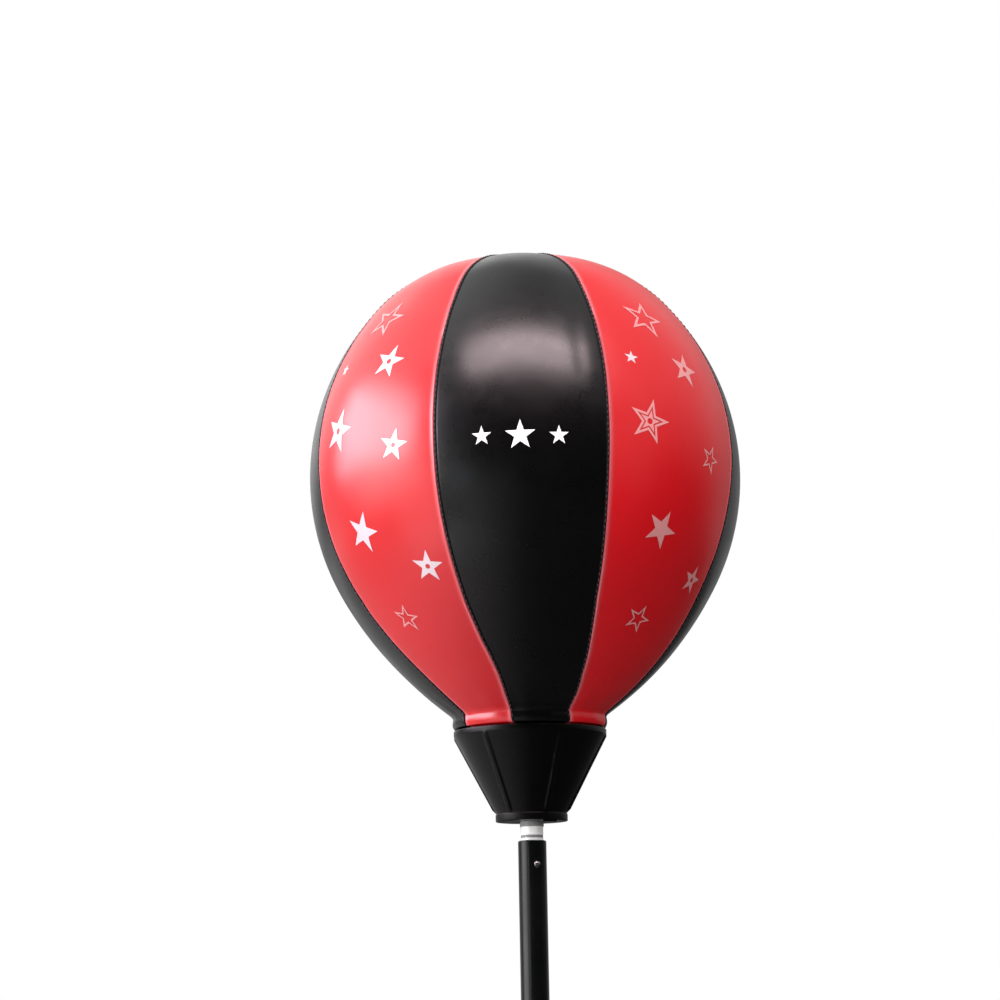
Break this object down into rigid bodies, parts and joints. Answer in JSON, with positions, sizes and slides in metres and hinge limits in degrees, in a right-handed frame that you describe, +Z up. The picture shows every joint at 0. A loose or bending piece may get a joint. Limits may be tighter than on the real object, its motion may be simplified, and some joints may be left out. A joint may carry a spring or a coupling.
{
  "type": "spring reflex bag",
  "caption": "Free-standing reflex bag: air-filled ball in a ribbed cup on a telescopic pole that springs upright from a weighted round base.",
  "frame": {"origin": "centre of the base's underside, on the floor", "axes": "+Z up along the pole, the black front panel of the ball faces -Y, +X is the user's right when facing the front"},
  "size_m": [0.3999, 0.4, 1.18],
  "materials": {
    "leather_black": "smooth black synthetic leather, semi-gloss",
    "leather_red": "smooth red synthetic leather, semi-gloss",
    "cup_plastic": "black moulded plastic, satin",
    "pole_paint": "gloss black powder coat on steel tube",
    "plated_steel": "bright zinc or chrome plate",
    "bare_steel": "plain steel",
    "spring_steel": "black oxide spring steel",
    "rubber_black": "black rubber",
    "bladder_rubber": "black butyl rubber",
    "base_plastic": "black blow-moulded polyethylene, fine grain",
    "fitting_plastic": "black moulded plastic",
    "water": "water"
  },
  "bodies": {
    "base": {"base_tank": "base_plastic", "water_ballast": "water", "filler_gasket": "rubber_black", "base_bolt": "bare_steel", "base_washer": "bare_steel", "lower_spring_cup": "fitting_plastic", "lower_spring_plug": "bare_steel"},
    "filler_cap": {"filler_cap": "fitting_plastic"},
    "spring": {"reflex_spring": "spring_steel"},
    "lower_pole": {"upper_spring_plug": "bare_steel", "upper_spring_cup": "fitting_plastic", "lower_pole": "pole_paint", "lower_pole_pin": "bare_steel", "pole_collar": "fitting_plastic"},
    "upper_pole": {"upper_pole": "pole_paint", "pole_bottom_guide": "fitting_plastic", "height_button_clip": "bare_steel", "neck_stub": "plated_steel", "neck_insert": "bare_steel", "neck_seal": "rubber_black", "neck_button_clip": "bare_steel", "ball_cup": "cup_plastic", "clamp_plug": "cup_plastic", "clamp_washer": "bare_steel", "clamp_bolt": "bare_steel", "bladder": "bladder_rubber", "bladder_valve": "rubber_black", "valve_eyelet": "plated_steel", "crown_patch": "leather_black", "panel_front": "leather_black", "panel_front_right": "leather_red", "panel_right": "leather_black", "panel_rear_right": "leather_red", "panel_rear": "leather_black", "panel_rear_left": "leather_red", "panel_left": "leather_black", "panel_front_left": "leather_red"},
    "height_button": {"height_button": "plated_steel"},
    "neck_button": {"neck_button": "plated_steel"}
  },
  "joints": [
    {"name": "spring_bend_fore", "type": "hinge", "parent": "base", "child": "spring", "pos_m": [0, 0, 0.159], "axis": [1, 0, 0], "range_deg": [-40, 40], "stiffness_Nm_per_rad": 22, "deforming": ["reflex_spring"]},
    {"name": "spring_bend_side", "type": "hinge", "parent": "spring", "child": "lower_pole", "pos_m": [0, 0, 0.199], "axis": [0, 1, 0], "range_deg": [-40, 40], "stiffness_Nm_per_rad": 22, "deforming": ["reflex_spring"]},
    {"name": "height_slide", "type": "slide", "parent": "lower_pole", "child": "upper_pole", "axis": [0, 0, 1], "range_m": [-0.16, 0.08]},
    {"name": "height_button_press", "type": "slide", "parent": "upper_pole", "child": "height_button", "axis": [0.309, -0.9511, 0], "range_m": [-0.0035, 0], "stiffness_N_per_m": 600, "deforming": ["height_button_clip"]},
    {"name": "neck_button_press", "type": "slide", "parent": "upper_pole", "child": "neck_button", "axis": [0.309, -0.9511, 0], "range_m": [-0.0025, 0], "stiffness_N_per_m": 600, "deforming": ["neck_button_clip"]},
    {"name": "cap_lift", "type": "slide", "parent": "base", "child": "filler_cap", "axis": [0, 0, 1], "range_m": [0, 0.03]}
  ]
}
